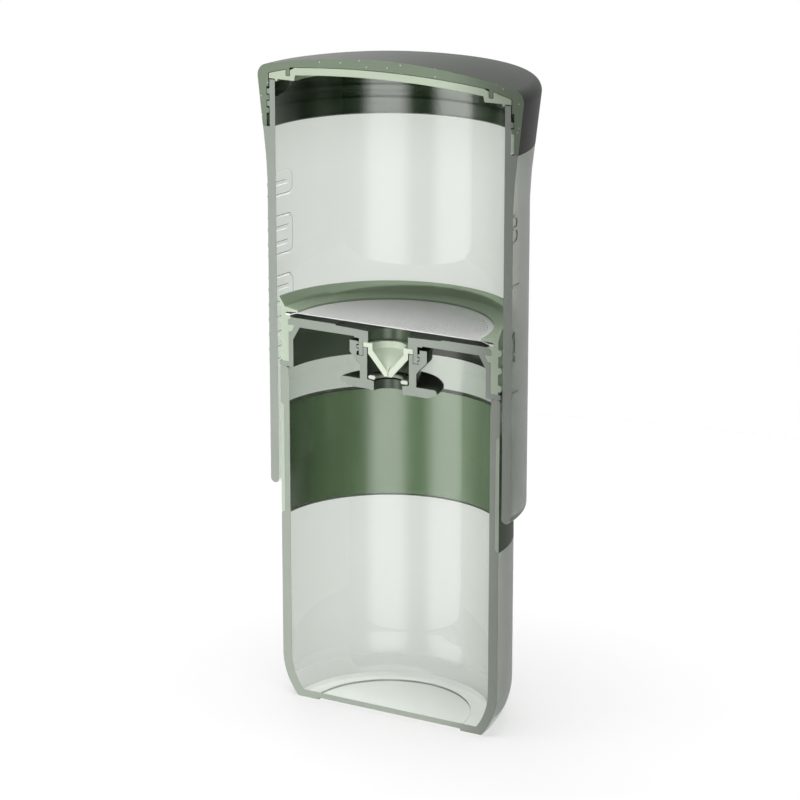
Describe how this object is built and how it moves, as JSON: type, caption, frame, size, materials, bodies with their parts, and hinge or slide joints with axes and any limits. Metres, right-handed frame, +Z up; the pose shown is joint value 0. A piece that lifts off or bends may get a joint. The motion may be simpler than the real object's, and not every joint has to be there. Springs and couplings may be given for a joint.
{
  "type": "travel coffee press",
  "caption": "Cut-open travel coffee press: a clear brew chamber with a screw cap slides down over a drinking cup that carries a sealed filter piston.",
  "frame": {"origin": "on the press's axis, at the table under the cup's foot", "axes": "+Z up the axis to the cap, the flat cut face on y = 0 facing -Y"},
  "size_m": [0.082, 0.041, 0.1859],
  "materials": {
    "clear_plastic": "clear smoke, polished",
    "dark_silicone": "satin",
    "grey_plastic": "satin",
    "light_silicone": "satin",
    "pale_silicone": "satin",
    "screen_metal": "fine perforated",
    "white_plastic": "satin",
    "cap_plastic": "satin"
  },
  "bodies": {
    "cup": {"cup": "clear_plastic", "grip_sleeve": "dark_silicone"},
    "piston": {"piston_head": "grey_plastic", "piston_seal": "light_silicone", "filter_screen": "screen_metal", "filter_rim": "white_plastic", "valve": "light_silicone"},
    "chamber": {"chamber": "clear_plastic"},
    "liner": {"cap_liner": "light_silicone"},
    "cap": {"cap": "cap_plastic"},
    "outlet": {"outlet_ring": "pale_silicone"},
    "retainer": {"valve_retainer": "grey_plastic"}
  },
  "joints": [
    {"name": "head_lift", "type": "slide", "parent": "cup", "child": "piston", "axis": [0, 0, 1], "range_m": [0, 0.03]},
    {"name": "press_stroke", "type": "slide", "parent": "piston", "child": "chamber", "axis": [0, 0, -1], "range_m": [-0.03, 0.058]},
    {"name": "cap_rise", "type": "slide", "parent": "chamber", "child": "liner", "axis": [0, 0, 1], "range_m": [0, 0.0103]},
    {"name": "cap_turn", "type": "hinge", "parent": "liner", "child": "cap", "pos_m": [0, 0, 0.17], "axis": [0, 0, 1], "range_deg": [0, 1080]},
    {"name": "retainer_drop", "type": "slide", "parent": "piston", "child": "outlet", "axis": [0, 0, -1], "range_m": [0, 0.0061]},
    {"name": "retainer_turn", "type": "hinge", "parent": "outlet", "child": "retainer", "pos_m": [0, 0, 0.1], "axis": [0, 0, -1], "range_deg": [0, 1080]}
  ],
  "couplings": [
    {"joint": "cap_rise", "follows": "cap_turn", "m_per_rad": 0.00054113},
    {"joint": "retainer_drop", "follows": "retainer_turn", "m_per_rad": 0.00031831}
  ]
}
